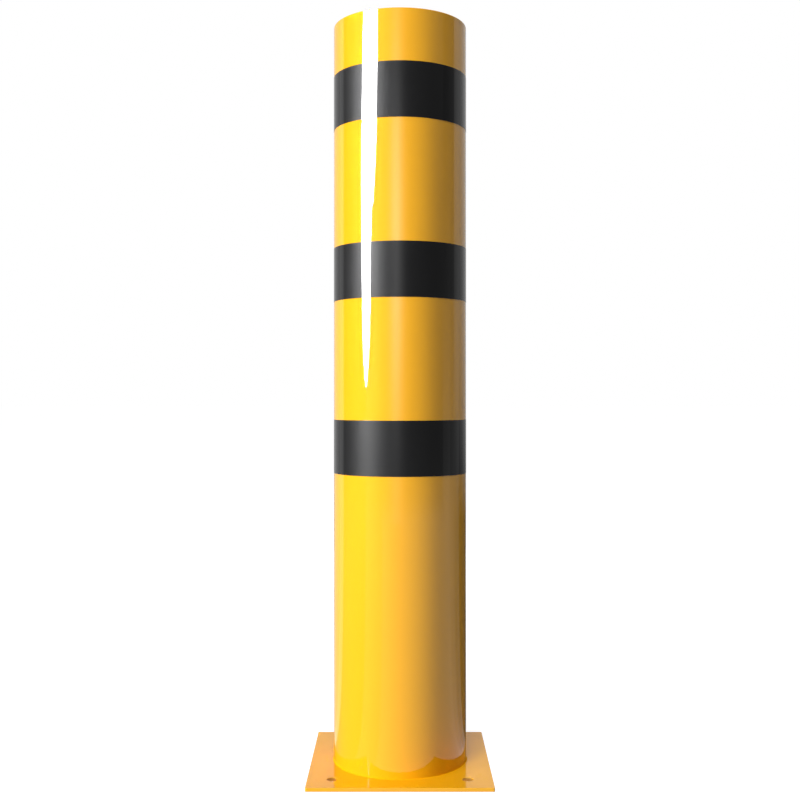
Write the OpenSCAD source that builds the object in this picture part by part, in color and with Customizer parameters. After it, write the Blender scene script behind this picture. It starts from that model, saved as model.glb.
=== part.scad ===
// Surface-mounted safety bollard: a capped steel tube welded to a square base plate and ringed with
// three bands of black film. The origin is the middle of the plate's underside, on the floor, with
// +Z up. The side that is seen first looks towards -Y, and the laps of the film face +Y.

/* [Post] */
// Outside diameter of the post's tube
post_d = 180; // [120:1:300]
// Thickness of the tube's wall
wall_t = 4; // [3:0.5:8]
// Height of the finished bollard, from the floor to its top
overall_h = 1000; // [700:10:1500]

/* [Base plate] */
// How far the plate reaches past the tube on each side
plate_reach = 30; // [20:1:80]
// Thickness of the plate
plate_t = 5; // [4:0.5:25]
// Radius of the plate's four corners
corner_r = 1.5; // [0.5:0.5:15]
// Chamfer that takes the sharpness off the plate's edges and holes
edge_break = 0.5; // [0.2:0.1:1]

/* [Holes in the base plate] */
// Diameter of each of the four anchor holes
anchor_d = 14; // [8:0.5:20]
// Distance from the middle of an anchor hole to the plate's two nearest edges
anchor_inset = 32.5; // [15:0.5:40]
// Diameter of the vent hole under the tube, which lets hot air out when the coat is baked
vent_d = 20; // [10:1:60]

/* [Top cap] */
// Thickness of the round cap
cap_t = 5; // [4:0.5:12]
// Radius of the cap's rounded top edge
cap_edge_r = 1; // [0.5:0.1:1.5]

/* [Welds] */
// Least width of bare contact that a bevelled joint keeps inside its weld
root_face = 1; // [0.5:0.1:2]
// Radius of the hollow toe that runs the foot weld out onto the plate
toe_r = 1.5; // [0.5:0.1:2.5]

/* [Bands] */
// Height of each black band
band_h = 72.5; // [30:0.5:110]
// Distance from a band's top edge to the top edge of the band below it
band_pitch = 232; // [180:1:260]
// Distance from the bollard's top down to the first band's top edge
first_band_drop = 68.5; // [20:0.5:120]
// Thickness of the film
film_t = 0.25; // [0.1:0.05:1]
// Length along which a band's outer end laps over its inner end
film_lap = 15; // [5:1:40]

/* [Hidden] */
$fn = 128;

post_r = post_d / 2;
bore_r = post_r - wall_t;
plate_w = post_d + 2 * plate_reach;
anchor_xy = plate_w / 2 - anchor_inset;
tube_h = overall_h - plate_t - cap_t;
// Depth of the bevel at the tube's foot, which the wall limits
foot_groove = wall_t - root_face;
// Depth of the bevel under the cap, which the wall and the height of the cap's rim both limit
cap_groove = min(wall_t - root_face, cap_t - 2 * cap_edge_r);
// How far a cutting shape runs past the surface it cuts
cut_over = 1;

coat_yellow = [0.98, 0.76, 0.06];
weld_yellow = [0.93, 0.66, 0.03];
film_black = [0.16, 0.16, 0.17];

// Outline of a flat bar seen from its end, with all four edges broken
function bar_section(w, t, c) = [
    [-w / 2 + c, 0],
    [w / 2 - c, 0],
    [w / 2, c],
    [w / 2, t - c],
    [w / 2 - c, t],
    [-w / 2 + c, t],
    [-w / 2, t - c],
    [-w / 2, c]
];

// Square with round corners, made of true arcs
module round_square(w, r) {
    straight = w - 2 * r;
    square([w, straight], center = true);
    square([straight, w], center = true);
    for (x = [-1, 1], y = [-1, 1])
        translate([x, y] * straight / 2)
            circle(r = r);
}

// Plate blank: the plan view and the two end views of a plate with broken edges, all cut from one block
module plate_blank() {
    intersection() {
        linear_extrude(height = plate_t)
            round_square(plate_w, corner_r);
        carried_section(0);
        carried_section(90);
    }
}

// End view of the plate, carried across its whole width and turned about the vertical
module carried_section(turn) {
    rotate([90, 0, turn])
        linear_extrude(height = plate_w, center = true)
            polygon(bar_section(plate_w, plate_t, edge_break));
}

// Cutter for a drilled hole through the plate, flared at both faces to break its edges
module drilled_hole(d) {
    r = d / 2;
    flare_r = r + edge_break + cut_over;
    rotate_extrude()
        polygon([
            [0, -cut_over],
            [flare_r, -cut_over],
            [r, edge_break],
            [r, plate_t - edge_break],
            [flare_r, plate_t + cut_over],
            [0, plate_t + cut_over]
        ]);
}

// Base plate with its four anchor holes and the vent hole under the tube
module base_plate() {
    color(coat_yellow)
        difference() {
            plate_blank();
            for (x = [-1, 1], y = [-1, 1])
                translate([x, y] * anchor_xy)
                    drilled_hole(anchor_d);
            drilled_hole(vent_d);
        }
}

// Tube standing on the plate, with its foot bevelled outside down to the root face
module post_tube() {
    color(coat_yellow)
        translate([0, 0, plate_t])
            rotate_extrude()
                polygon([
                    [bore_r, 0],
                    [post_r - foot_groove, 0],
                    [post_r, foot_groove],
                    [post_r, tube_h],
                    [bore_r, tube_h]
                ]);
}

// Weld that fills the bevel at the tube's foot flush with its outside and ends on the plate in a hollow toe
module foot_weld() {
    color(weld_yellow)
        translate([0, 0, plate_t])
            rotate_extrude()
                translate([post_r, 0])
                    difference() {
                        polygon([
                            [-foot_groove, 0],
                            [toe_r, 0],
                            [toe_r, toe_r],
                            [0, toe_r],
                            [0, foot_groove]
                        ]);
                        translate([toe_r, toe_r])
                            circle(r = toe_r);
                    }
}

// Round cap that closes the tube, bevelled under its rim and rounded over it
module top_cap() {
    color(coat_yellow)
        translate([0, 0, overall_h - cap_t])
            rotate_extrude()
                union() {
                    polygon([
                        [0, 0],
                        [post_r - cap_groove, 0],
                        [post_r, cap_groove],
                        [post_r, cap_t - cap_edge_r],
                        [post_r - cap_edge_r, cap_t],
                        [0, cap_t]
                    ]);
                    translate([post_r - cap_edge_r, cap_t - cap_edge_r])
                        circle(r = cap_edge_r);
                }
}

// Weld that fills the bevel under the cap's rim, ground flush with the tube's outside
module cap_weld() {
    color(weld_yellow)
        translate([0, 0, overall_h - cap_t])
            rotate_extrude()
                translate([post_r, 0])
                    polygon([
                        [-cap_groove, 0],
                        [0, 0],
                        [0, cap_groove]
                    ]);
}

// Film seen from above: one turn laid on the tube, with its outer end lapped over its inner end at the back
module film_turn() {
    difference() {
        union() {
            circle(r = post_r + film_t);
            intersection() {
                circle(r = post_r + 2 * film_t);
                translate([-film_lap / 2, 0])
                    square([film_lap, post_d]);
            }
        }
        circle(r = post_r);
    }
}

// One band of film. Bands are counted from the top, starting at 0.
module film_band(number) {
    color(film_black)
        translate([0, 0, overall_h - first_band_drop - number * band_pitch - band_h])
            linear_extrude(height = band_h)
                film_turn();
}

module band_upper() {
    film_band(0);
}

module band_middle() {
    film_band(1);
}

module band_lower() {
    film_band(2);
}

base_plate();
post_tube();
foot_weld();
top_cap();
cap_weld();
band_upper();
band_middle();
band_lower();
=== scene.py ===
"""Looks of a surface-mounted safety bollard in a plain pale studio.

It is a capped steel post on a drilled base plate, in a glossy yellow coat, with three bands of
black film. Every piece is a surface worked out with numpy in the part's own frame: metres, +Z up,
the front towards -Y, the origin on the floor under the middle of the plate.
"""

import logging
import math
from dataclasses import dataclass
from enum import Enum

import bmesh
import bpy
import numpy as np
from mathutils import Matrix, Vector


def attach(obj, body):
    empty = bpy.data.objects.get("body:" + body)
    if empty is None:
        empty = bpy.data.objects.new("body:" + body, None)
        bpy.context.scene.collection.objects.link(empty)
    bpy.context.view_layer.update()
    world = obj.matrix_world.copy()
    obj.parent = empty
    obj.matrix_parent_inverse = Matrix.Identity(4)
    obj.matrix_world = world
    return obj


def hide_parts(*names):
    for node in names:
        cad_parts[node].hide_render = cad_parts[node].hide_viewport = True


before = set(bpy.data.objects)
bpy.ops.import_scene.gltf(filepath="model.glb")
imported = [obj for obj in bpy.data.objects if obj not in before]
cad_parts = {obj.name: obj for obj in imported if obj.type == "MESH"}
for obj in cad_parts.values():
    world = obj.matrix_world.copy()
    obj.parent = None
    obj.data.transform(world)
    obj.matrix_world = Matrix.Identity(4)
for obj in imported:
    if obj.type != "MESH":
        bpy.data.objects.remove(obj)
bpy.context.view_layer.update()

log = logging.getLogger("bollard")

MM = 0.001
BODY = "root"

# Segments in one turn of the post. The tube, the cap and the weld under it share them, and the weld
# at the foot has a multiple of them, so that the pieces meet without a visible step.
TURN_SEGMENTS = 256
# Points that lie closer than this are one point
MERGE_DISTANCE = 0.0005 * MM
# Distance of the points that hold the shading flat beside a rounded edge
HOLD = 0.06 * MM
# Edges that turn by more than this stay crisp
CRISP_ANGLE = math.radians(32)

# Ray depths beyond which a surface, or the world, is seen in a reflection of a reflection
SURFACE_DEPTH = 1.5
WORLD_DEPTH = 2.5
# What a reflection of a reflection shows of the surround, where 1 is white
DEEP_LEVEL = 0.08

# A linear colour, and what the input of a node takes: a plain value or the socket it is linked to
Colour = tuple[float, float, float]
Value = bpy.types.NodeSocket | float | tuple[float, ...]


class Slot(Enum):
    """Material slots of the part's record."""

    COAT = "yellow_coat"
    FILM = "black_film"


# Surfaces


@dataclass(frozen=True)
class Surface:
    """A grid of points and the quads between neighbours.

    Attributes:
        points: Array of shape (rows, columns, 3), in metres.
        close_rows: Whether the last row joins the first.
        close_columns: Whether the last column joins the first.
    """

    points: np.ndarray
    close_rows: bool = False
    close_columns: bool = False

    def quads(self) -> np.ndarray:
        """Numbers the quads of the grid.

        Each quad takes the point (i, j) and its neighbours at i + 1 and j + 1, where the sums wrap
        round on a closed side.

        Returns:
            Integer array of shape (quads, 4) that indexes the points row by row.
        """
        rows, columns = self.points.shape[:2]
        i, j = np.meshgrid(
            np.arange(rows if self.close_rows else rows - 1),
            np.arange(columns if self.close_columns else columns - 1),
            indexing="ij",
        )
        below, beside = (i + 1) % rows, (j + 1) % columns
        corners = (
            i * columns + j,
            i * columns + beside,
            below * columns + beside,
            below * columns + j,
        )
        return np.stack(corners, axis=-1).reshape(-1, 4)


def on_circle(angle: np.ndarray) -> np.ndarray:
    """Gives the points (cos a, sin a) of the unit circle."""
    return np.stack([np.cos(angle), np.sin(angle)], axis=-1)


def raised(flat: np.ndarray, height: np.ndarray | float) -> np.ndarray:
    """Lifts flat points to their heights.

    Args:
        flat: Array whose last axis is (x, y).
        height: One height, or heights that fit the shape of the points.

    Returns:
        Array whose last axis is (x, y, z).
    """
    z = np.broadcast_to(height, flat.shape[:-1])
    return np.concatenate([flat, z[..., None]], axis=-1)


def revolve(profile: np.ndarray, segments: int = TURN_SEGMENTS) -> Surface:
    """Carries a closed profile once round the Z axis.

    A point (r, z) of the profile becomes (r cos a, r sin a, z) at each angle a.

    Args:
        profile: Array of shape (points, 2) with radius and height, in metres.
        segments: Number of steps in the turn.

    Returns:
        The closed surface.
    """
    angle = np.linspace(0, math.tau, segments, endpoint=False)
    points = raised(profile[:, 0, None, None] * on_circle(angle), profile[:, 1, None])
    return Surface(points, close_rows=True, close_columns=True)


def rounded_profile(corners: list[tuple[float, float, float]], steps: int = 6) -> np.ndarray:
    """Rounds the corners of an open outline.

    An arc of radius r starts and ends at the distance r / tan(half the corner's angle) from the
    corner, about the centre that lies r / sin(half the angle) away from it on the bisector. One
    more point stands a hair beyond each end of an arc, which keeps the shading of the straight
    runs flat.

    Args:
        corners: Corners as (x, y, radius of the arc), in metres. One of radius 0 stays sharp, as
            both ends do.
        steps: Number of chords in each arc.

    Returns:
        Array of shape (points, 2).
    """
    places = np.array([corner[:2] for corner in corners])
    runs = []
    for k, (place, (*_, radius)) in enumerate(zip(places, corners)):
        if radius == 0:
            runs.append(place[None])
            continue
        back, ahead = places[k - 1] - place, places[k + 1] - place
        back, ahead = back / np.linalg.norm(back), ahead / np.linalg.norm(ahead)
        half = math.acos(float(back @ ahead)) / 2
        bisector = (back + ahead) / np.linalg.norm(back + ahead)
        centre = place + bisector * radius / math.sin(half)
        start, end = (place + way * radius / math.tan(half) for way in (back, ahead))
        first = math.atan2(*(start - centre)[::-1])
        sweep = math.remainder(math.atan2(*(end - centre)[::-1]) - first, math.tau)
        angle = first + sweep * np.linspace(0, 1, steps + 1)
        bend = centre + radius * on_circle(angle)
        runs.append(np.concatenate([[start + back * HOLD], bend, [end + ahead * HOLD]]))
    return np.concatenate(runs)


def turned(points: np.ndarray, quarters: int) -> np.ndarray:
    """Turns flat points about the origin by quarter turns.

    Args:
        points: Array whose last axis is (x, y).
        quarters: Number of quarter turns against the clock.

    Returns:
        Array of the same shape.
    """
    x, y = points[..., 0], points[..., 1]
    return np.stack([(x, y), (-y, x), (-x, -y), (y, -x)][quarters % 4], axis=-1)


def blend_rings(inner: np.ndarray, outer: np.ndarray, steps: int, height: float) -> Surface:
    """Fills the flat ring between two outlines that have the same number of points.

    Each point is inner + s (outer - inner) for a share s that goes from 0 to 1 in equal steps.

    Args:
        inner: Array of shape (points, 2).
        outer: Array of shape (points, 2).
        steps: Number of steps from the inner outline to the outer one.
        height: Height of the ring.

    Returns:
        The surface, closed round the ring.
    """
    share = np.linspace(0, 1, steps + 1)[:, None, None]
    flat = inner + share * (outer - inner)
    return Surface(raised(flat, height), close_columns=True)


def put_in_scene(name: str, data: bpy.types.ID) -> bpy.types.Object:
    """Makes an object and links it to the scene.

    Args:
        name: Name of the object.
        data: Its mesh, lamp or camera.

    Returns:
        The object, at the origin.
    """
    thing = bpy.data.objects.new(name, data)
    bpy.context.scene.collection.objects.link(thing)
    return thing


def make_mesh(name: str, surfaces: list[Surface]) -> bpy.types.Mesh:
    """Puts surfaces into one mesh.

    Args:
        name: Name of the mesh.
        surfaces: The surfaces.

    Returns:
        The mesh.
    """
    starts = np.cumsum([0] + [s.points.shape[0] * s.points.shape[1] for s in surfaces[:-1]])
    points = np.concatenate([s.points.reshape(-1, 3) for s in surfaces])
    quads = np.concatenate([s.quads() + start for s, start in zip(surfaces, starts)])
    mesh = bpy.data.meshes.new(name)
    mesh.from_pydata(points.tolist(), [], quads.tolist())
    return mesh


def make_piece(
    name: str, surfaces: list[Surface], material: bpy.types.Material
) -> bpy.types.Object:
    """Joins surfaces into one closed piece whose faces point outwards.

    Args:
        name: Name of the piece.
        surfaces: The surfaces, which share the points along their seams.
        material: Finish of the piece.

    Returns:
        The object, at the origin.
    """
    mesh = make_mesh(name, surfaces)
    shell = bmesh.new()
    shell.from_mesh(mesh)
    bmesh.ops.remove_doubles(shell, verts=shell.verts, dist=MERGE_DISTANCE)
    bmesh.ops.recalc_face_normals(shell, faces=shell.faces)
    shell.to_mesh(mesh)
    shell.free()
    mesh.polygons.foreach_set("use_smooth", np.ones(len(mesh.polygons), bool))
    mesh.set_sharp_from_angle(angle=CRISP_ANGLE)
    mesh.materials.append(material)
    mesh.update()
    return put_in_scene(name, mesh)


def stand_for(piece: bpy.types.Object, node: str) -> bpy.types.Object:
    """Puts a piece in the place of a node of the part and reports it.

    Args:
        piece: The new piece.
        node: The node that it stands for.

    Returns:
        The same piece.
    """
    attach(piece, BODY)
    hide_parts(node)
    log.info("%s stands for %s with %d faces", piece.name, node, len(piece.data.polygons))
    return piece


# Finishes


class Graph:
    """The nodes of one tree, each added with its settings and its inputs in one call."""

    def __init__(self, tree: bpy.types.NodeTree) -> None:
        """Takes the tree that gets the nodes."""
        self.nodes, self.links = tree.nodes, tree.links

    def feed(self, socket: bpy.types.NodeSocket, value: Value) -> None:
        """Gives an input its value.

        Args:
            socket: The input.
            value: A plain value, or the socket that the input is linked to.
        """
        if isinstance(value, bpy.types.NodeSocket):
            self.links.new(value, socket)
        else:
            socket.default_value = value

    def add(
        self, kind: str, inputs: dict[str | int, Value] | None = None, **settings: object
    ) -> bpy.types.Node:
        """Adds a node.

        Args:
            kind: Its type, without the word ShaderNode.
            inputs: Values of its inputs, by their names or numbers.
            **settings: Its own settings.

        Returns:
            The node.
        """
        node = self.nodes.new(f"ShaderNode{kind}")
        for name, value in settings.items():
            setattr(node, name, value)
        for name, value in (inputs or {}).items():
            self.feed(node.inputs[name], value)
        return node

    def maths(self, operation: str, *values: Value) -> bpy.types.NodeSocket:
        """Adds a Math node.

        Args:
            operation: Its operation.
            *values: Sockets or numbers that it works on.

        Returns:
            Socket with its result.
        """
        node = self.add("Math", dict(enumerate(values)), operation=operation)
        return node.outputs["Value"]

    def by_depth(
        self, first: Value, deep: Value, depth: float = SURFACE_DEPTH
    ) -> bpy.types.NodeSocket:
        """Gives one level in a reflection and another in a reflection of a reflection.

        Args:
            first: Level where the surface is seen, or mirrored once.
            deep: Level where it is mirrored more than once.
            depth: Ray depth beyond which the second level holds.

        Returns:
            Socket with the level.
        """
        path = self.add("LightPath")
        beyond = self.maths("GREATER_THAN", path.outputs["Ray Depth"], depth)
        level = self.add("MapRange", {"Value": beyond, "To Min": first, "To Max": deep})
        return level.outputs["Result"]


def skin_group(fine_ratio: float = 3.7) -> bpy.types.NodeTree:
    """Builds the group that gives a flowed skin its faint relief and its faint cloudiness.

    The relief is one noise at the size of the skin's cells plus a share of a finer one. The
    cloudiness is a slow noise from 0 to 1.

    Args:
        fine_ratio: How many times finer the finer noise is.

    Returns:
        The group, with the outputs Relief and Clouds.
    """
    group = bpy.data.node_groups.new("flowed_skin", "ShaderNodeTree")
    group.interface.new_socket("Vector", in_out="INPUT", socket_type="NodeSocketVector")
    defaults = {"Cells per metre": 300.0, "Fine share": 0.2, "Clouds per metre": 9.0}
    for title, value in defaults.items():
        socket = group.interface.new_socket(title, in_out="INPUT", socket_type="NodeSocketFloat")
        socket.default_value = value
    for title in ("Relief", "Clouds"):
        group.interface.new_socket(title, in_out="OUTPUT", socket_type="NodeSocketFloat")
    graph = Graph(group)
    source, sink = graph.nodes.new("NodeGroupInput"), graph.nodes.new("NodeGroupOutput")

    def noise(scale: bpy.types.NodeSocket, detail: float) -> bpy.types.NodeSocket:
        """Adds a noise that reads the group's vector.

        Args:
            scale: Socket with its scale.
            detail: Its detail.

        Returns:
            Socket with its factor.
        """
        inputs = {"Vector": source.outputs["Vector"], "Scale": scale, "Detail": detail}
        return graph.add("TexNoise", inputs).outputs["Fac"]

    cells = source.outputs["Cells per metre"]
    broad = noise(cells, detail=0.0)
    fine = noise(graph.maths("MULTIPLY", cells, fine_ratio), detail=1.0)
    relief = graph.maths("MULTIPLY_ADD", fine, source.outputs["Fine share"], broad)
    graph.feed(sink.inputs["Relief"], relief)
    clouds = noise(source.outputs["Clouds per metre"], detail=2.0)
    graph.feed(sink.inputs["Clouds"], clouds)
    return group


@dataclass(frozen=True)
class LayeredFinish:
    """A coloured body with a broad sheen under a clear, sharp face.

    Attributes:
        name: Name of the material.
        colour: Linear colour of the body at one end of its slow clouds.
        cloud_colour: Linear colour at their other end.
        sheen_tint: Linear tint of the body's broad sheen.
        body_roughness: Roughness of the body's sheen.
        roughness_spread: How much smoother than that it is at the clouds' other end.
        body_specular: Strength of the sheen, where 0.5 is a plain gloss.
        face_ior: Index of refraction of the clear face.
        cells_per_metre: Cells of the faint relief per metre.
        relief_depth: Depth of the relief.
        fine_share: Share of the finer relief.
        clouds_per_metre: Clouds per metre.
        face_weight: Weight of the clear face.
        face_roughness: Roughness of the clear face.
    """

    name: str
    colour: Colour
    cloud_colour: Colour
    sheen_tint: Colour
    body_roughness: float
    roughness_spread: float
    body_specular: float
    face_ior: float
    cells_per_metre: float
    relief_depth: float
    fine_share: float
    clouds_per_metre: float
    face_weight: float = 1.0
    face_roughness: float = 0.008

    def material(self, skin: bpy.types.NodeTree) -> bpy.types.Material:
        """Builds the material.

        Where the clouds go from 0 to 1, the body's colour goes from cloud_colour to colour and
        its roughness from body_roughness - roughness_spread to body_roughness. The relief is a
        bump.

        Args:
            skin: The group that skin_group built.

        Returns:
            The material.
        """
        material = bpy.data.materials.new(self.name)
        material.use_nodes = True
        graph = Graph(material.node_tree)
        place = graph.add("TexCoord")
        skin_inputs = {
            "Vector": place.outputs["Object"],
            "Cells per metre": self.cells_per_metre,
            "Fine share": self.fine_share,
            "Clouds per metre": self.clouds_per_metre,
        }
        flow = graph.add("Group", skin_inputs, node_tree=skin)
        clouds = flow.outputs["Clouds"]
        tones = {"A": (*self.cloud_colour, 1.0), "B": (*self.colour, 1.0)}
        colour = graph.add("Mix", {"Factor": clouds, **tones}, data_type="RGBA")
        smoothest = self.body_roughness - self.roughness_spread
        stretch = {"Value": clouds, "To Min": smoothest, "To Max": self.body_roughness}
        roughness = graph.add("MapRange", stretch)
        relief = {"Height": flow.outputs["Relief"], "Distance": self.relief_depth}
        inputs = {
            "Base Color": colour.outputs["Result"],
            "Metallic": 0.0,
            "Roughness": roughness.outputs["Result"],
            "Normal": graph.add("Bump", relief).outputs["Normal"],
            "Specular IOR Level": self.body_specular,
            "Specular Tint": (*self.sheen_tint, 1.0),
            "Coat Weight": self.face_weight,
            "Coat Roughness": self.face_roughness,
            "Coat IOR": self.face_ior,
        }
        shader = graph.nodes["Principled BSDF"]
        for title, value in inputs.items():
            graph.feed(shader.inputs[title], value)
        return material


@dataclass(frozen=True)
class GlossCoat(LayeredFinish):
    """Stoved yellow coat on steel, with a faint orange peel and a mirror-smooth face."""

    name: str = "yellow_coat_finish"
    colour: Colour = (0.95, 0.452, 0.005)
    cloud_colour: Colour = (0.91, 0.432, 0.005)
    sheen_tint: Colour = (0.95, 0.452, 0.005)
    body_roughness: float = 0.6
    roughness_spread: float = 0.06
    body_specular: float = 0.07
    face_ior: float = 1.5
    cells_per_metre: float = 240.0
    relief_depth: float = 0.01 * MM
    fine_share: float = 0.15
    clouds_per_metre: float = 7.0


@dataclass(frozen=True)
class BeadCoat(GlossCoat):
    """The same coat over the rough weld at the foot, where it has no clear face."""

    name: str = "coated_bead_finish"
    body_specular: float = 0.02
    face_weight: float = 0.0


@dataclass(frozen=True)
class GlossFilm(LayeredFinish):
    """Black self-adhesive film, with a faint grain and a thin clear face."""

    name: str = "black_film_finish"
    colour: Colour = (0.003, 0.003, 0.0034)
    cloud_colour: Colour = (0.002, 0.002, 0.0024)
    sheen_tint: Colour = (1.0, 1.0, 1.0)
    body_roughness: float = 0.5
    roughness_spread: float = 0.05
    body_specular: float = 0.041
    face_ior: float = 1.24
    cells_per_metre: float = 900.0
    relief_depth: float = 0.004 * MM
    fine_share: float = 0.4
    clouds_per_metre: float = 18.0


# The bollard


@dataclass
class BasePlate:
    """Square plate with broken edges, four anchor holes and a vent hole.

    Attributes:
        width: Length of each side.
        thickness: Thickness of the plate.
        corner_radius: Radius of the corners seen from above.
        edge_radius: Radius that breaks every edge.
        anchor_radius: Radius of the anchor holes.
        anchor_inset: Distance from a hole's middle to the nearest sides.
        vent_radius: Radius of the hole under the post.
        cell_steps: Steps along the side of a cell.
        corner_steps: Steps in a corner seen from above.
        ring_steps: Steps from a hole to the border of its cell.
    """

    width: float = 240 * MM
    thickness: float = 5 * MM
    corner_radius: float = 1.5 * MM
    edge_radius: float = 0.5 * MM
    anchor_radius: float = 7 * MM
    anchor_inset: float = 32.5 * MM
    vent_radius: float = 10 * MM
    cell_steps: int = 24
    corner_steps: int = 6
    ring_steps: int = 8

    @property
    def border(self) -> float:
        """Width of the rounded and held strip between an edge and the flat face."""
        return self.edge_radius + HOLD

    @property
    def seam(self) -> float:
        """Distance from the middle to the lines that cut each face into nine cells."""
        return self.width / 2 - 2 * self.anchor_inset

    def side_stops(self) -> np.ndarray:
        """Places the points along one side, corner arcs left out.

        The side is cut at the seams into three runs, each in equal steps.

        Returns:
            Rising positions from the end of one corner arc to the start of the next.
        """
        end = self.width / 2 - self.corner_radius
        n = self.cell_steps
        return np.concatenate(
            [
                np.linspace(-end, -self.seam, n, endpoint=False),
                np.linspace(-self.seam, self.seam, n, endpoint=False),
                np.linspace(self.seam, end, n + 1),
            ]
        )

    def corner_arc(self, inset: float) -> np.ndarray:
        """Goes round the corner at +X +Y on an arc of the radius corner_radius - inset.

        Args:
            inset: How far inwards from the plate's full width.

        Returns:
            Array of shape (points, 2), against the clock, with both ends of the arc.
        """
        middle = self.width / 2 - self.corner_radius
        angle = np.linspace(0, math.pi / 2, self.corner_steps + 1)
        return middle + (self.corner_radius - inset) * on_circle(angle)

    def outline(self, inset: float) -> np.ndarray:
        """Goes round the plate's outline, moved inwards.

        Each quarter is a straight side at width / 2 - inset followed by a corner arc, and each
        next quarter is the one before turned by 90 degrees.

        Args:
            inset: How far inwards from the plate's full width.

        Returns:
            Array of shape (points, 2), against the clock, from the right-hand side's lower end.
        """
        stops = self.side_stops()
        side = np.stack([np.full_like(stops, self.width / 2 - inset), stops], axis=-1)
        quarter = np.concatenate([side, self.corner_arc(inset)[1:-1]])
        return np.concatenate([turned(quarter, k) for k in range(4)])

    def edge_profile(self) -> np.ndarray:
        """Gives the profile of a broken edge: distance from the bare wall, and height."""
        e, t = self.edge_radius, self.thickness
        return rounded_profile([(self.border, 0, 0), (0, 0, e), (0, t, e), (self.border, t, 0)])

    def rim(self) -> Surface:
        """Carries the edge's profile round the outline.

        Returns:
            The rim, from the underside's flat face up to the top's.
        """
        rows = [raised(self.outline(inset), z) for inset, z in self.edge_profile()[1:-1]]
        return Surface(np.stack(rows), close_columns=True)

    def hole_wall(self, centre: np.ndarray, radius: float, angles: np.ndarray) -> Surface:
        """Carries the edge's profile round the middle of a hole.

        A point of the profile at the distance d from the wall lies at the radius of the hole + d.

        Args:
            centre: Middle of the hole.
            radius: Radius of the hole's wall.
            angles: Angles of the points round the hole, which the flat faces share.

        Returns:
            The wall.
        """
        profile = self.edge_profile()[1:-1]
        reach = radius + profile[:, 0, None, None]
        points = raised(centre + reach * on_circle(angles), profile[:, 1, None])
        return Surface(points, close_columns=True)

    def corner_cell(self) -> np.ndarray:
        """Goes round the corner cell at +X +Y, from its lower right corner.

        Returns:
            Array of shape (points, 2), against the clock.
        """
        reach = self.width / 2 - self.border
        outer = self.side_stops()[2 * self.cell_steps :]
        inner = np.linspace(self.seam, reach, len(outer))
        count = self.cell_steps
        return np.concatenate(
            [
                np.column_stack([np.full(count, reach), outer[:-1]]),
                self.corner_arc(self.border)[:-1],
                np.column_stack([outer[:0:-1], np.full(count, reach)]),
                np.column_stack([np.full(count, self.seam), inner[:0:-1]]),
                np.column_stack([inner[:-1], np.full(count, self.seam)]),
            ]
        )

    def middle_cell(self) -> np.ndarray:
        """Goes round the middle cell, from its lower right corner.

        Returns:
            Array of shape (points, 2), against the clock.
        """
        stops = np.linspace(-self.seam, self.seam, self.cell_steps, endpoint=False)
        side = np.stack([np.full_like(stops, self.seam), stops], axis=-1)
        return np.concatenate([turned(side, k) for k in range(4)])

    def side_cell(self) -> np.ndarray:
        """Lays a plain grid between the seams and the right-hand side.

        Returns:
            Array of shape (rows, columns, 2).
        """
        across = np.linspace(self.seam, self.width / 2 - self.border, self.cell_steps + 1)
        along = np.linspace(-self.seam, self.seam, self.cell_steps + 1)
        return np.stack(np.meshgrid(across, along, indexing="ij"), axis=-1)

    def drilled_cell(
        self, border: np.ndarray, centre: tuple[float, float], radius: float, turn: int
    ) -> list[Surface]:
        """Fills a cell that has a hole, on both faces, and lines the hole.

        Args:
            border: Outline of the cell before it is turned.
            centre: Middle of the hole before it is turned.
            radius: Radius of the hole.
            turn: Quarter turns about the middle of the plate.

        Returns:
            Both flat faces and the wall of the hole.
        """
        outline = turned(border, turn)
        middle = turned(np.array([centre]), turn)[0]
        away = outline - middle
        angles = np.arctan2(away[:, 1], away[:, 0])
        circle = middle + (radius + self.border) * on_circle(angles)
        faces = [
            blend_rings(circle, outline, self.ring_steps, z) for z in (0.0, self.thickness)
        ]
        return [*faces, self.hole_wall(middle, radius, angles)]

    def surfaces(self) -> list[Surface]:
        """Gathers the rim and the nine cells of both faces.

        Returns:
            The surfaces, which share the points along their seams.
        """
        middle = self.width / 2 - self.anchor_inset
        found = [self.rim(), *self.drilled_cell(self.middle_cell(), (0, 0), self.vent_radius, 0)]
        for turn in range(4):
            found += self.drilled_cell(
                self.corner_cell(), (middle, middle), self.anchor_radius, turn
            )
            flat = turned(self.side_cell(), turn)
            found += [Surface(raised(flat, z)) for z in (0.0, self.thickness)]
        return found

    def build(self, coat: bpy.types.Material) -> bpy.types.Object:
        """Builds the plate in its coat and puts it in the node's place.

        Args:
            coat: Finish of the plate.

        Returns:
            The plate.
        """
        plate = make_piece("drilled_plate", self.surfaces(), coat)
        return stand_for(plate, "base_plate")


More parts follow.
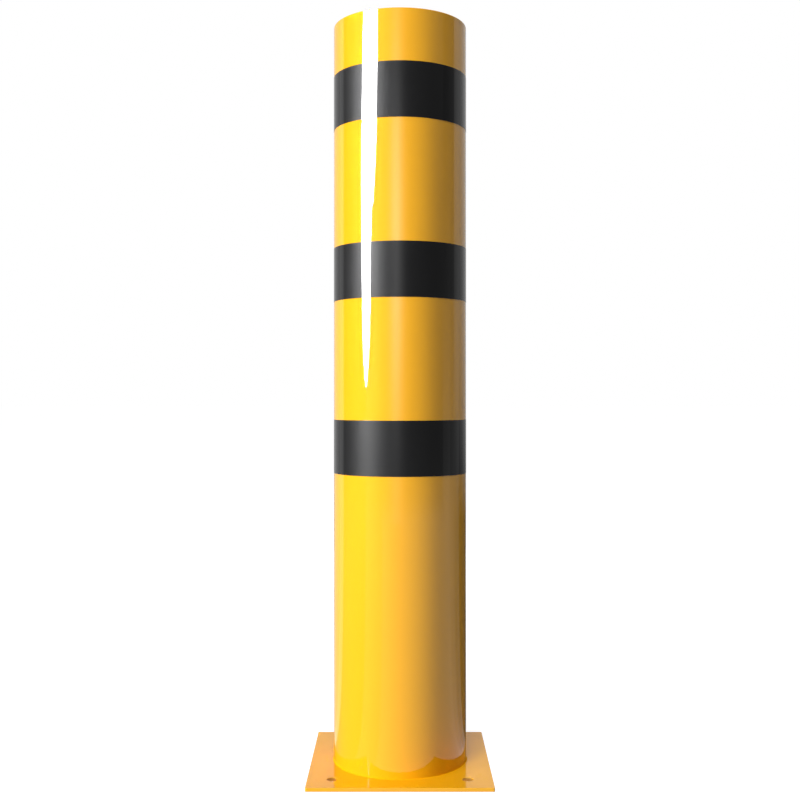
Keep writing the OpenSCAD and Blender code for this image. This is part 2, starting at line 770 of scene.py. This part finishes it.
@dataclass
class Post:
    """Round tube with its cap and the two welds that close it.

    Attributes:
        radius: Outside radius of the tube.
        wall: Thickness of the tube's wall.
        foot_z: Height of the plate's top, on which the tube stands.
        cap_z: Height of the cap's underside, on which the tube ends.
        top_z: Height of the bollard.
        groove: Depth and height of the two bevels that the welds fill.
        rim_radius: Radius of the cap's rounded edge.
        toe_radius: Radius of the hollow toe of the foot weld.
        ripple_depth: Depth of the faint ripples along the toe.
        ripples: Number of ripples in one turn.
        dressing_depth: Depth to which the weld under the cap is ground hollow.
        wall_steps: Steps up the tube.
        rim_steps: Steps in the cap's rounded edge.
        cap_steps: Steps from the cap's edge to its middle.
        dressing_steps: Steps up the face of the weld under the cap.
        toe_steps: Steps in the hollow toe of the foot weld.
        toe_share: Segments of the foot weld for each segment of the tube.
    """

    radius: float = 90 * MM
    wall: float = 4 * MM
    foot_z: float = 5 * MM
    cap_z: float = 995 * MM
    top_z: float = 1000 * MM
    groove: float = 3 * MM
    rim_radius: float = 1 * MM
    toe_radius: float = 1.5 * MM
    ripple_depth: float = 0.12 * MM
    ripples: int = 280
    dressing_depth: float = 0.012 * MM
    wall_steps: int = 60
    rim_steps: int = 8
    cap_steps: int = 12
    dressing_steps: int = 8
    toe_steps: int = 10
    toe_share: int = 6

    def tube(self) -> Surface:
        """Revolves the wall: bore, foot with its outside bevel, outside, upper end.

        Returns:
            The closed surface of the tube.
        """
        bore = self.radius - self.wall
        heights = np.linspace(self.foot_z + self.groove, self.cap_z, self.wall_steps + 1)
        outside = np.column_stack([np.full_like(heights, self.radius), heights])
        profile = np.concatenate(
            [
                [[bore, self.foot_z], [self.radius - self.groove, self.foot_z]],
                outside,
                [[bore, self.cap_z]],
            ]
        )
        return revolve(profile)

    def cap(self) -> Surface:
        """Revolves the cap: underside, bevel under the rim, rim with its rounded edge, flat top.

        Returns:
            The surface of the cap, closed at its middle.
        """
        outline = rounded_profile(
            [
                (0, self.cap_z, 0),
                (self.radius - self.groove, self.cap_z, 0),
                (self.radius, self.cap_z + self.groove, 0),
                (self.radius, self.top_z, self.rim_radius),
                (0, self.top_z, 0),
            ],
            steps=self.rim_steps,
        )
        radii = np.linspace(outline[-2, 0], 0, self.cap_steps + 1)[1:-1]
        top = np.column_stack([radii, np.full_like(radii, self.top_z)])
        profile = np.concatenate([outline[:-1], top, outline[-1:]])
        return Surface(revolve(profile).points, close_columns=True)

    def cap_weld(self) -> Surface:
        """Revolves the ring that fills the bevel under the cap, its face ground a trace hollow.

        The face lies at radius - d sin(pi t) for t from 0 at its lower edge to 1 at its upper
        edge.

        Returns:
            The closed surface of the ring.
        """
        t = np.linspace(0, 1, self.dressing_steps + 1)
        radii = self.radius - self.dressing_depth * np.sin(math.pi * t)
        face = np.column_stack([radii, self.cap_z + self.groove * t])
        return revolve(np.concatenate([[[self.radius - self.groove, self.cap_z]], face]))

    def foot_weld(self) -> Surface:
        """Carries the weld's section round the foot, with faint ripples in its hollow toe.

        The section fills the bevel and ends in a hollow quarter circle. At angle a each point of
        the hollow moves towards the axis by d w (1 + cos(n a + s)) / 2, where n counts the
        ripples, w falls to 0 at both ends of the hollow, and s leans the ripples along it.

        Returns:
            The closed surface of the ring.
        """
        segments = TURN_SEGMENTS * self.toe_share
        sweep = np.linspace(1.5 * math.pi, math.pi, self.toe_steps + 1)
        hollow = np.array([self.radius, self.foot_z]) + self.toe_radius * (1 + on_circle(sweep))
        root = [[self.radius - self.groove, self.foot_z]]
        shoulder = [[self.radius, self.foot_z + self.groove]]
        profile = np.concatenate([root, hollow, shoulder])
        along = np.linspace(0, 1, self.toe_steps + 1)
        weight = np.concatenate([[0], np.sin(math.pi * along), [0]])
        lean = np.concatenate([[0], math.pi * along, [math.pi]])
        ring = revolve(profile, segments).points
        angle = np.linspace(0, math.tau, segments, endpoint=False)
        sink = self.ripple_depth * weight[:, None]
        sink = sink * (1 + np.cos(self.ripples * angle + lean[:, None])) / 2
        points = ring - sink[..., None] * raised(on_circle(angle), 0.0)
        return Surface(points, close_rows=True, close_columns=True)

    def build(
        self, coat: bpy.types.Material, bead: bpy.types.Material
    ) -> list[bpy.types.Object]:
        """Builds the tube, the cap and both welds, and puts them in the nodes' places.

        Args:
            coat: Finish of the tube, the cap and the dressed weld.
            bead: Finish of the weld at the foot.

        Returns:
            The four pieces.
        """
        pieces = (
            ("coated_tube", self.tube(), coat, "post_tube"),
            ("cap_disc", self.cap(), coat, "top_cap"),
            ("dressed_cap_weld", self.cap_weld(), coat, "cap_weld"),
            ("foot_weld_bead", self.foot_weld(), bead, "foot_weld"),
        )
        return [
            stand_for(make_piece(name, [surface], finish), node)
            for name, surface, finish, node in pieces
        ]


# Height of the highest band's lower edge, and the distance down to the next band's, in millimetres
HIGHEST_BAND_MM = 859.0
BAND_PITCH_MM = 232.0


@dataclass
class FilmBand:
    """One turn of film whose outer end laps over its inner end at the back.

    Attributes:
        name: Name of the piece.
        node: Node of the part that it stands for.
        low_z: Height of its lower edge.
        height: Height of the band.
        radius: Radius of the tube under it.
        thickness: Thickness of the film.
        adhesive: Thickness of the adhesive in the lap.
        lap: Length of the lap.
        climb: Length over which the film climbs onto its own inner end.
        corner: Radius of the rounded corners of its cut edges.
        corner_steps: Steps in a rounded corner.
        climb_steps: Steps along the climb.
        lap_steps: Steps along the lap.
    """

    name: str
    node: str
    low_z: float
    height: float = 72.5 * MM
    radius: float = 90 * MM
    thickness: float = 0.247 * MM
    adhesive: float = 0.003 * MM
    lap: float = 15 * MM
    climb: float = 2 * MM
    corner: float = 0.05 * MM
    corner_steps: int = 3
    climb_steps: int = 10
    lap_steps: int = 15

    def path(self) -> tuple[np.ndarray, np.ndarray]:
        """Lays the film's path round the tube.

        The angle runs from the inner end, half a lap before +Y, through one turn and one lap. The
        film's inner face lies on the tube at first. Over the last stretch before the inner end it
        rises by its own thickness on a smooth step, 3 t^2 - 2 t^3, and stays there.

        Returns:
            The angles and the radius of the inner face at each.
        """
        half_lap = math.asin(self.lap / 2 / self.radius)
        climb = self.climb / self.radius
        start = math.pi / 2 - half_lap
        meet = start + math.tau
        angle = np.concatenate(
            [
                np.linspace(start, meet - climb, TURN_SEGMENTS, endpoint=False),
                np.linspace(meet - climb, meet, self.climb_steps, endpoint=False),
                np.linspace(meet, meet + 2 * half_lap, self.lap_steps + 1),
            ]
        )
        t = np.clip((angle - meet + climb) / climb, 0, 1)
        return angle, self.radius + (self.thickness + self.adhesive) * (3 * t**2 - 2 * t**3)

    def section(self) -> tuple[np.ndarray, np.ndarray]:
        """Gives the film's section as two rows of points with the same heights.

        At both cut edges the outer face turns in on a small arc.

        Returns:
            Offsets from the inner face and heights of the outer row, lower edge first. The inner
            row has the offset 0 at the same heights.
        """
        high_z = self.low_z + self.height
        outline = rounded_profile(
            [
                (0, self.low_z, 0),
                (self.thickness, self.low_z, self.corner),
                (self.thickness, high_z, self.corner),
                (0, high_z, 0),
            ],
            steps=self.corner_steps,
        )[1:-1]
        return outline[:, 0], outline[:, 1]

    def build(self, film: bpy.types.Material) -> bpy.types.Object:
        """Builds the band in its film.

        Args:
            film: Finish of the band.

        Returns:
            The band.
        """
        angle, base = self.path()
        offset, height = self.section()
        around = on_circle(angle)

        def sheet(offsets: np.ndarray) -> np.ndarray:
            """Carries a row of the section along the path.

            Args:
                offsets: Offsets of its points from the inner face.

            Returns:
                Array of shape (points of the section, points of the path, 3).
            """
            flat = (base + offsets[:, None])[..., None] * around
            return raised(flat, height[:, None])

        outer, inner = sheet(offset), sheet(0 * offset)
        ends = [Surface(np.stack([outer[:, k], inner[:, k]])) for k in (0, -1)]
        edges = [Surface(np.stack([outer[k], inner[k]])) for k in (0, -1)]
        piece = make_piece(self.name, [Surface(outer), Surface(inner), *ends, *edges], film)
        return stand_for(piece, self.node)


# The studio


def round_wall(azimuth: np.ndarray, radius: np.ndarray | float, z: np.ndarray) -> Surface:
    """Places points round the post: the one at azimuth a is (r sin a, -r cos a, z).

    Args:
        azimuth: Azimuths in degrees, 0 in front and negative to the left, of shape (rows,
            columns).
        radius: Distances from the axis, which fit the azimuths' shape, or one distance.
        z: Heights, which fit the azimuths' shape.

    Returns:
        The surface.
    """
    a = np.radians(azimuth)
    return Surface(np.stack([radius * np.sin(a), -radius * np.cos(a), z + 0 * a], axis=-1))


def bare_material(name: str) -> tuple[bpy.types.Material, Graph]:
    """Starts a material without nodes.

    Args:
        name: Name of the material.

    Returns:
        The material and its graph.
    """
    material = bpy.data.materials.new(name)
    material.use_nodes = True
    material.node_tree.nodes.clear()
    return material, Graph(material.node_tree)


def mirrored_card(
    name: str,
    surface: Surface,
    level: np.ndarray | float,
    deep_level: np.ndarray | float = DEEP_LEVEL,
    strong: bool = False,
) -> bpy.types.Object:
    """Builds a glowing card that shows in glossy faces only: it lights nothing and hides nothing.

    Args:
        name: Name of the card.
        surface: Its surface.
        level: Its radiance, where 1 is white: one value, or one for each point.
        deep_level: Radiance that a reflection of a reflection shows, in the same form.
        strong: Whether the card is bright enough to be sought out as a lamp, which keeps the broad
            sheen that it raises free of noise.

    Returns:
        The card.
    """
    mesh = make_mesh(name, [surface])
    material, graph = bare_material(f"{name}_glow")
    material.cycles.emission_sampling = "FRONT_BACK" if strong else "NONE"
    sockets = []
    for title, values in (("level", level), ("deep_level", deep_level)):
        field = mesh.attributes.new(title, "FLOAT", "POINT")
        field.data.foreach_set("value", np.broadcast_to(values, surface.points.shape[:2]).ravel())
        sockets.append(graph.add("Attribute", attribute_name=title).outputs["Fac"])
    glow = graph.add("Emission", {"Strength": graph.by_depth(*sockets)})
    graph.add("OutputMaterial", {"Surface": glow.outputs["Emission"]})
    mesh.materials.append(material)
    card = put_in_scene(name, mesh)
    card.visible_camera = False
    card.visible_diffuse = False
    card.visible_transmission = False
    card.visible_volume_scatter = False
    card.visible_shadow = False
    return card


@dataclass(frozen=True)
class GreyCard:
    """Grey card that tones the white surround down where glossy faces mirror it.

    It stands on a round wall about the post. It can run on along the floor towards the post. Its
    level at height z is high - (high - low) exp(-(z - low_z) / rise).

    Attributes:
        name: Name of the card.
        first_azimuth: Azimuth of one side, in degrees.
        last_azimuth: Azimuth of the other side, in degrees.
        low_level: Its radiance at the lower edge, where 1 is white.
        high_level: Radiance that it tends to further up.
        rise: Height over which its level changes.
        low_z: Height of its lower edge.
        high_z: Height of its upper edge.
        apron: Distance from the axis at which its part on the floor begins, or 0 for none.
        radius: Radius of the round wall.
        columns: Points from side to side.
        rows: Points from the lower to the upper edge.
    """

    name: str
    first_azimuth: float
    last_azimuth: float
    low_level: float
    high_level: float
    rise: float = 0.4
    low_z: float = 0.002
    high_z: float = 3.0
    apron: float = 0.0
    radius: float = 3.2
    columns: int = 25
    rows: int = 40

    def build(self) -> bpy.types.Object:
        """Builds the card.

        Returns:
            The card.
        """
        z = np.linspace(self.low_z, self.high_z, self.rows)
        radius = np.full_like(z, self.radius)
        if self.apron:
            z, radius = np.insert(z, 0, self.low_z), np.insert(radius, 0, self.apron)
        gap = (self.high_level - self.low_level) * np.exp((self.low_z - z) / self.rise)
        azimuth = np.linspace(self.first_azimuth, self.last_azimuth, self.columns)
        surface = round_wall(azimuth + 0 * z[:, None], radius[:, None], z[:, None])
        return mirrored_card(self.name, surface, (self.high_level - gap)[:, None])


@dataclass(frozen=True)
class SoftGlow:
    """Grey card with a soft bright patch, seen as a faint stripe down the front.

    Its level at azimuth a and height z is g + (1 - g) exp(-z / fade) for the grey g, which turns
    white at the floor, and for the patch peak exp(-((a - middle) / width)^2) exp(-((z - centre) /
    height)^2) more.

    Attributes:
        middle: Azimuth of the patch's middle, in degrees.
        width: Azimuth over which it fades, in degrees.
        centre: Height of the patch's middle.
        height: Height over which it fades.
        peak: Its level above the grey.
        grey: Level of the grey.
        floor_fade: Height over which the grey turns white towards the floor.
        reach: Size of the card in widths and heights to each side.
        radius: Radius of the round wall.
        steps: Points each way.
    """

    middle: float = -6.0
    width: float = 10.5
    centre: float = 1.15
    height: float = 0.78
    peak: float = 3.3
    grey: float = 0.5
    floor_fade: float = 0.1
    reach: float = 2.4
    radius: float = 3.1
    steps: int = 49

    def build(self) -> bpy.types.Object:
        """Builds the card.

        Returns:
            The card.
        """
        across = np.linspace(-self.reach, self.reach, self.steps)
        top = self.centre + self.reach * self.height
        z = np.linspace(0.0, top, self.steps)[:, None]
        along = (z - self.centre) / self.height
        ground = self.grey + (1 - self.grey) * np.exp(-z / self.floor_fade)
        level = ground + self.peak * np.exp(-(across**2)) * np.exp(-(along**2))
        surface = round_wall(self.middle + self.width * across + 0 * z, self.radius, z)
        return mirrored_card("front_glow_card", surface, level)


@dataclass(frozen=True)
class KeyCard:
    """Tall bright card at the left that the glossy faces mirror as one long highlight.

    It stands on a round wall about the post, from a narrow tip up to its top, with a notch in its
    right edge. Azimuth 0 is straight in front and a negative one is to the left, in degrees.

    Attributes:
        radius: Radius of the round wall.
        level: Radiance of the card.
        tip_z: Height of the tip.
        notch_z: Height at which the right edge steps in.
        top_z: Height of the card's top.
        left_azimuth: Azimuth of the left edge where it reaches furthest to the left.
        left_z: Height of that place.
        left_bow: Bow of the left edge, in degrees per square metre.
        left_turn: How far the left edge turns in at the tip, in degrees.
        left_fade: Height over which that turn fades.
        right_azimuth: Azimuth of the right edge at the height right_z.
        right_z: Height of that place.
        right_lean: Lean of the right edge below it, in degrees per metre.
        right_turn: How far the right edge turns in at the tip, in degrees.
        right_fade: Height over which that turn fades.
        upper_azimuth: Azimuth that the right edge tends to above the notch.
        notch_turn: How far it lies inwards from there at the notch, in degrees.
        notch_fade: Height over which it swings out.
        streak_place: Place of the thin streak that a reflection of a reflection shows, from 0 at
            the left edge to 1 at the right.
        streak_width: Share of the width over which the streak fades.
        streak_level: Radiance of the streak.
        rows: Points from the tip to the top.
        columns: Points from side to side.
    """

    radius: float = 3.0
    level: float = 400.0
    tip_z: float = 0.536
    notch_z: float = 1.249
    top_z: float = 2.1
    left_azimuth: float = -68.2
    left_z: float = 1.3
    left_bow: float = 8.0
    left_turn: float = 4.3
    left_fade: float = 0.06
    right_azimuth: float = -50.0
    right_z: float = 1.2
    right_lean: float = 4.0
    right_turn: float = 6.6
    right_fade: float = 0.12
    upper_azimuth: float = -37.8
    notch_turn: float = 9.4
    notch_fade: float = 0.25
    streak_place: float = 0.77
    streak_width: float = 0.09
    streak_level: float = 14.0
    rows: int = 220
    columns: int = 40

    def left_edge(self, z: np.ndarray) -> np.ndarray:
        """Gives the left edge's azimuth: a shallow parabola that turns in to the tip.

        With heights in metres the azimuth is left_azimuth + left_bow (z - left_z)^2 + left_turn
        exp(-(z - tip) / left_fade).

        Args:
            z: Heights.

        Returns:
            Azimuths in degrees.
        """
        belly = self.left_azimuth + self.left_bow * (z - self.left_z) ** 2
        return belly + self.left_turn * np.exp((self.tip_z - z) / self.left_fade)

    def right_edge(self, z: np.ndarray) -> np.ndarray:
        """Gives the right edge's azimuth, below and above the notch.

        Below it the azimuth is right_azimuth - right_lean (right_z - z) - right_turn exp(-(z -
        tip) / right_fade). Above it the azimuth is upper_azimuth - notch_turn exp(-(z - notch) /
        notch_fade). Heights are in metres.

        Args:
            z: Heights.

        Returns:
            Azimuths in degrees.
        """
        below = self.right_azimuth - self.right_lean * (self.right_z - z)
        below = below - self.right_turn * np.exp((self.tip_z - z) / self.right_fade)
        above = self.upper_azimuth - self.notch_turn * np.exp((self.notch_z - z) / self.notch_fade)
        return np.where(z < self.notch_z, below, above)

    def build(self) -> bpy.types.Object:
        """Builds the card: at each height the azimuth goes in equal steps from edge to edge.

        Returns:
            The card.
        """
        z = np.linspace(self.tip_z, self.top_z, self.rows)[:, None]
        left, right = self.left_edge(z), self.right_edge(z)
        share = np.linspace(0, 1, self.columns)
        wall = round_wall(left + (right - left) * share, self.radius, z)
        streak = np.exp(-(((share - self.streak_place) / self.streak_width) ** 2))
        deep_level = DEEP_LEVEL + self.streak_level * streak
        return mirrored_card("key_card", wall, self.level, deep_level, strong=True)


@dataclass(frozen=True)
class SoftLamp:
    """Soft lamp that lights the colours but shows in no mirror-like face.

    Attributes:
        name: Name of the lamp.
        azimuth: Where it stands round the bollard, in degrees. 0 is in front, -90 is at the left.
        centre_z: Height of its middle.
        width: Width of its face.
        height: Height of its face.
        power: Power in watts.
        distance: Distance from the post's axis.
        aim_z: Height on the axis that it faces.
    """

    name: str
    azimuth: float
    centre_z: float
    width: float
    height: float
    power: float
    distance: float = 2.6
    aim_z: float = 0.5

    def build(self) -> bpy.types.Object:
        """Places the lamp and turns its face to the bollard.

        Returns:
            The lamp.
        """
        data = bpy.data.lights.new(self.name, "AREA")
        data.shape = "RECTANGLE"
        data.size, data.size_y, data.energy = self.width, self.height, self.power
        lamp = put_in_scene(self.name, data)
        a = math.radians(self.azimuth)
        place = Vector((self.distance * math.sin(a), -self.distance * math.cos(a), self.centre_z))
        back = place - Vector((0, 0, self.aim_z))
        lamp.location = place
        lamp.rotation_euler = back.to_track_quat("Z", "Y").to_euler()
        lamp.visible_camera = False
        lamp.visible_glossy = False
        return lamp


@dataclass
class Studio:
    """Pale floor, white surround, the cards that glossy faces mirror and the soft lamps.

    Attributes:
        floor_half: Half the width of the floor.
        floor_grey: Colour of the floor.
        near_glow: Light of its own that the floor shows round the bollard, where lamps add to it.
        far_glow: Light of its own that the floor shows far away, where hardly any lamp adds to it.
        fade_start: Distance at which the near glow starts to turn into the far one.
        fade_end: Distance at which it has turned.
        ambient: Level of the surround as light.
        grey_cards: The cards that tone down the mirrored surround.
        lamps: The soft lamps.
    """

    floor_half: float = 60.0
    floor_grey: float = 0.35
    near_glow: float = 0.88
    far_glow: float = 0.985
    fade_start: float = 0.2
    fade_end: float = 2.2
    ambient: float = 0.05
    grey_cards: tuple[GreyCard, ...] = (
        GreyCard("left_grey_card", -113.0, -60.0, 0.3, 0.08, apron=0.1),
        GreyCard("left_rear_card", -162.0, -126.0, 0.7, 0.7, apron=0.1),
        GreyCard("front_left_card", -60.0, -30.0, 0.7, 0.5, 0.1, apron=0.1),
        GreyCard("front_right_card", 18.0, 78.0, 1.0, 0.5, 0.1),
        GreyCard("right_near_card", 78.0, 95.0, 1.0, 0.2, 1.0),
        GreyCard("right_far_card", 95.0, 106.0, 0.7, 0.25, 1.0, apron=0.1),
        GreyCard("right_graded_card", 106.0, 121.0, 0.38, 0.8, 0.5, apron=0.1),
        GreyCard("right_dark_card", 121.0, 160.0, 0.06, 0.66, 0.5, apron=0.1),
        GreyCard("rear_grey_card", 160.0, 198.0, 0.2, 0.68, 0.5, apron=0.1),
    )
    lamps: tuple[SoftLamp, ...] = (
        SoftLamp("key_low_lamp", -56.0, 0.2, 0.7, 0.36, 82.0),
        SoftLamp("front_top_lamp", -19.0, 4.5, 1.3, 1.3, 114.0, distance=2.1),
        SoftLamp("overhead_lamp", -4.0, 2.4, 0.3, 0.3, 7.0, distance=0.4),
        SoftLamp("right_top_lamp", 110.0, 4.5, 1.3, 1.3, 25.0, distance=2.1),
        SoftLamp("back_low_lamp", 178.0, 0.6, 0.7, 0.6, 56.0, aim_z=2.2),
    )

    def floor(self) -> bpy.types.Object:
        """Lays the pale floor, which is white in mirror-like faces.

        Elsewhere the lamps light it, and the camera sees a glow of its own on top.

        Returns:
            The floor.
        """
        h = self.floor_half
        mesh = bpy.data.meshes.new("studio_floor")
        mesh.from_pydata([(-h, -h, 0), (h, -h, 0), (h, h, 0), (-h, h, 0)], [], [(0, 1, 2, 3)])
        material, graph = bare_material("pale_floor")
        path = graph.add("LightPath").outputs
        place = graph.add("TexCoord").outputs["Object"]
        distance = graph.add("VectorMath", {0: place}, operation="LENGTH").outputs["Value"]
        fade_inputs = {
            "Value": distance,
            "From Min": self.fade_start,
            "From Max": self.fade_end,
            "To Min": self.near_glow,
            "To Max": self.far_glow,
        }
        fade = graph.add("MapRange", fade_inputs, interpolation_type="SMOOTHSTEP")
        glow = graph.maths("MULTIPLY", path["Is Camera Ray"], fade.outputs["Result"])
        seen = graph.add("Emission", {"Strength": glow}).outputs["Emission"]
        grey = graph.add("BsdfDiffuse", {"Color": (*[self.floor_grey] * 3, 1)}).outputs["BSDF"]
        lit = graph.add("AddShader", {0: grey, 1: seen}).outputs["Shader"]
        white_strength = graph.by_depth(1.0, DEEP_LEVEL)
        white = graph.add("Emission", {"Strength": white_strength}).outputs["Emission"]
        mirrored = graph.maths("MAXIMUM", path["Is Glossy Ray"], path["Is Transmission Ray"])
        mix = graph.add("MixShader", {"Fac": mirrored, 1: lit, 2: white}).outputs["Shader"]
        graph.add("OutputMaterial", {"Surface": mix})
        mesh.materials.append(material)
        floor = put_in_scene("studio_floor", mesh)
        return floor

    def surround(self) -> None:
        """Sets the world: white where it is seen or mirrored, a soft grey as light."""
        world = bpy.data.worlds.new("studio_surround")
        bpy.context.scene.world = world
        world.use_nodes = True
        graph = Graph(world.node_tree)
        graph.nodes.clear()
        path = graph.add("LightPath").outputs
        seen = path["Is Camera Ray"]
        for title in ("Is Glossy Ray", "Is Transmission Ray"):
            seen = graph.maths("MAXIMUM", seen, path[title])
        sides = []
        for strength in (self.ambient, graph.by_depth(1.0, DEEP_LEVEL, WORLD_DEPTH)):
            light = graph.add("Background", {"Color": (1, 1, 1, 1), "Strength": strength})
            sides.append(light.outputs["Background"])
        mix = graph.add("MixShader", {"Fac": seen, 1: sides[0], 2: sides[1]})
        graph.add("OutputWorld", {"Surface": mix.outputs["Shader"]})

    def build(self) -> None:
        """Builds the floor, the surround, the cards and the lamps."""
        self.floor()
        self.surround()
        KeyCard().build()
        SoftGlow().build()
        for card in self.grey_cards:
            card.build()
        for lamp in self.lamps:
            lamp.build()
            log.info("%s at %.0f degrees", lamp.name, lamp.azimuth)


@dataclass
class PhotoCamera:
    """Level camera at the photograph's place.

    Attributes:
        place: Where it stands.
        lens: Focal length in millimetres.
        sensor: Width of the sensor in millimetres.
        shift_y: Upward shift of the view, as a share of the picture's width.
        near: Distance from which it sees.
        far: Distance up to which it sees.
    """

    place: tuple[float, float, float] = (0.0, -1.5437, 0.4967)
    lens: float = 50.82
    sensor: float = 36.0
    shift_y: float = -0.0025
    near: float = 0.05
    far: float = 200.0

    def build(self) -> bpy.types.Object:
        """Makes the camera and gives it to the scene.

        Returns:
            The camera.
        """
        data = bpy.data.cameras.new("photo_camera")
        data.sensor_width = self.sensor
        data.lens = self.lens
        data.shift_y = self.shift_y
        data.clip_start = self.near
        data.clip_end = self.far
        camera = put_in_scene("photo_camera", data)
        camera.location = self.place
        camera.rotation_euler = (math.pi / 2, 0.0, 0.0)
        bpy.context.scene.camera = camera
        return camera


def main() -> None:
    """Builds the finishes, the bollard and the studio, in that order."""
    logging.basicConfig(level=logging.INFO, format="%(name)s: %(message)s")
    skin = skin_group()
    coat = GlossCoat().material(skin)
    bead = BeadCoat().material(skin)
    film = GlossFilm().material(skin)
    BasePlate().build(coat)
    Post().build(coat, bead)
    for k, place in enumerate(("upper", "middle", "lower")):
        low_z = (HIGHEST_BAND_MM - BAND_PITCH_MM * k) * MM
        FilmBand(f"film_{place}", f"band_{place}", low_z).build(film)
    Studio().build()
    PhotoCamera().build()
    bpy.context.scene.view_settings.view_transform = "Standard"


if __name__ == "__main__":
    main()
